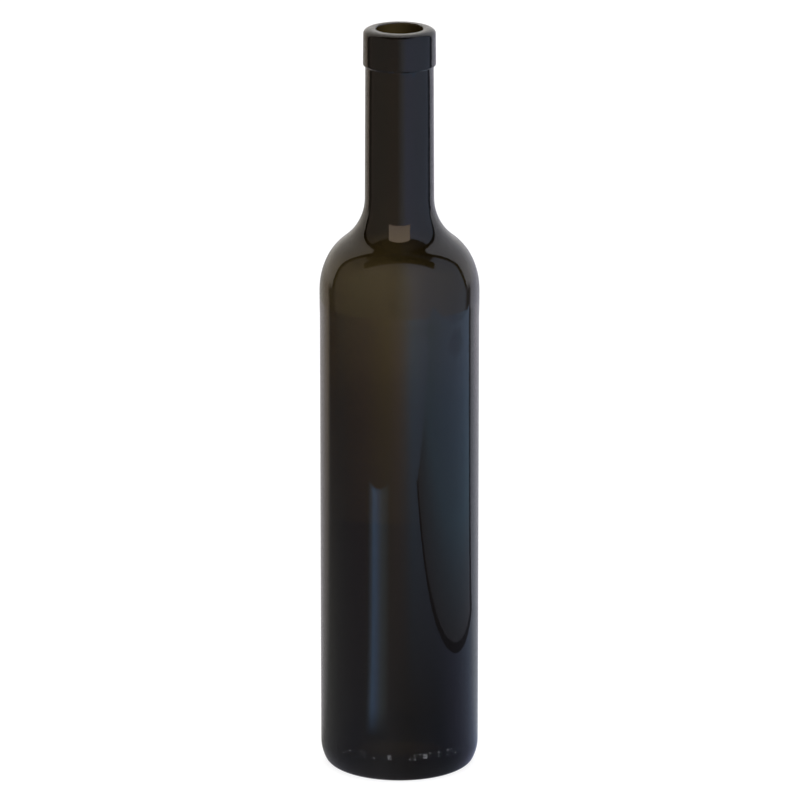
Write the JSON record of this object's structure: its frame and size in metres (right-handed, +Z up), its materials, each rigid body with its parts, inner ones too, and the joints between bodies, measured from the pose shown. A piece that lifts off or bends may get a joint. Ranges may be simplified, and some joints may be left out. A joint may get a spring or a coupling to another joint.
{
  "type": "bordeaux wine bottle",
  "caption": "Tall straight-sided glass wine bottle with high round shoulders, a long narrow neck, a flat collar at the open mouth and a punt under the base.",
  "frame": {"origin": "centre of the bearing ring, on the surface the bottle stands on", "axes": "+Z up along the bottle's own axis, towards the mouth; the bottle is a body of revolution, so X and Y are free"},
  "size_m": [0.0628, 0.0628, 0.299],
  "materials": {
    "glass": "smooth moulded bottle glass, very dark olive brown, glossy"
  },
  "bodies": {
    "root": {"bottle": "glass"}
  },
  "joints": []
}
